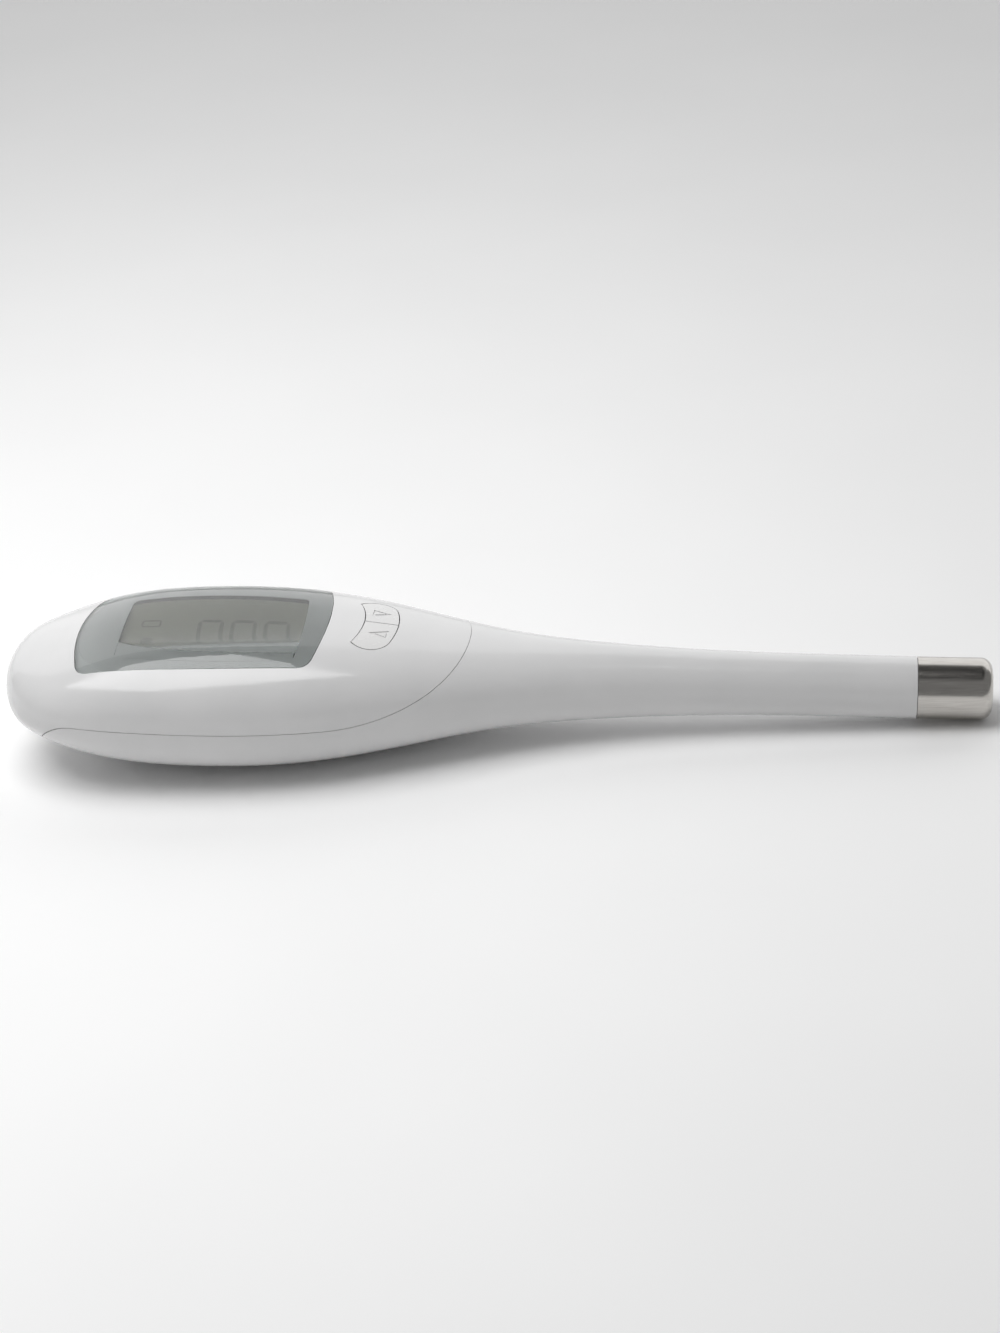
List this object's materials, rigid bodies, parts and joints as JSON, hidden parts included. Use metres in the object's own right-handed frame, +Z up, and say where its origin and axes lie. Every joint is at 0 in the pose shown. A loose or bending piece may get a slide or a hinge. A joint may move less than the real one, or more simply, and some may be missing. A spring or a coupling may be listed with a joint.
{
  "type": "digital thermometer",
  "caption": "Paddle-shaped digital thermometer with a flush display window, two flush push buttons and a long round probe with a metal tip.",
  "frame": {"origin": "on the resting surface, below the middle of the object's length and on its mirror plane", "axes": "+X towards the metal tip, +Y across, +Z up as it lies display upwards on its belly and tip"},
  "size_m": [0.135, 0.0334, 0.0195],
  "materials": {
    "white_housing": "gloss",
    "white_button": "gloss",
    "clear_lens": "clear gloss",
    "grey_border": "satin",
    "tape": "matte",
    "dark_foam": "matte",
    "display_film": "satin",
    "display_glass": "clear gloss",
    "reflector_film": "matte",
    "holder_plastic": "matte",
    "connector_rubber": "matte",
    "circuit_board": "satin",
    "screw_steel": "satin",
    "black_resin": "gloss",
    "can_metal": "satin",
    "chip_ceramic": "matte",
    "switch_plastic": "matte",
    "plunger_plastic": "matte",
    "cell_steel": "satin",
    "seal_rubber": "matte",
    "contact_metal": "satin",
    "buzzer_brass": "satin",
    "tip_steel": "polished",
    "bead_glass": "gloss",
    "lead_insulation": "satin",
    "potting_resin": "matte"
  },
  "bodies": {
    "housing": {"board_screws": "screw_steel", "buzzer_ceramic": "chip_ceramic", "buzzer_plate": "buzzer_brass", "buzzer_springs": "contact_metal", "chip_parts": "chip_ceramic", "controller_blob": "black_resin", "display_gasket": "dark_foam", "display_lens": "clear_lens", "far_switch_case": "switch_plastic", "lcd_connector": "connector_rubber", "lcd_front_glass": "display_glass", "lcd_holder": "holder_plastic", "lcd_polariser": "display_film", "lcd_rear_glass": "display_glass", "lcd_reflector": "reflector_film", "lens_adhesive": "tape", "lens_border": "grey_border", "lower_body": "white_housing", "main_board": "circuit_board", "near_switch_case": "switch_plastic", "negative_contact": "contact_metal", "positive_contact": "contact_metal", "sensor_bead": "bead_glass", "sensor_leads": "lead_insulation", "timing_crystal": "can_metal", "tip_cap": "tip_steel", "tip_potting": "potting_resin", "upper_cover": "white_housing"},
    "near_key": {"near_button": "white_button", "near_switch_plunger": "plunger_plastic"},
    "far_key": {"far_button": "white_button", "far_switch_plunger": "plunger_plastic"},
    "hatch": {"battery_hatch": "white_housing", "hatch_seal": "seal_rubber"},
    "cell": {"battery": "cell_steel"}
  },
  "joints": [
    {"name": "near_button_press", "type": "slide", "parent": "housing", "child": "near_key", "axis": [-0.0536, 0, -0.9986], "range_m": [0, 0.0005], "stiffness_N_per_m": 1500, "springref_m": -0.0003},
    {"name": "far_button_press", "type": "slide", "parent": "housing", "child": "far_key", "axis": [-0.0536, 0, -0.9986], "range_m": [0, 0.0005], "stiffness_N_per_m": 1500, "springref_m": -0.0003},
    {"name": "battery_hatch_pull", "type": "slide", "parent": "housing", "child": "hatch", "axis": [-0.0536, 0, -0.9986], "range_m": [0, 0.025]},
    {"name": "battery_lift_out", "type": "slide", "parent": "housing", "child": "cell", "axis": [-0.0536, 0, -0.9986], "range_m": [0, 0.015]}
  ],
  "couplings": [
    {"joint": "battery_lift_out", "follows": "battery_hatch_pull", "ratio": 0.6}
  ]
}
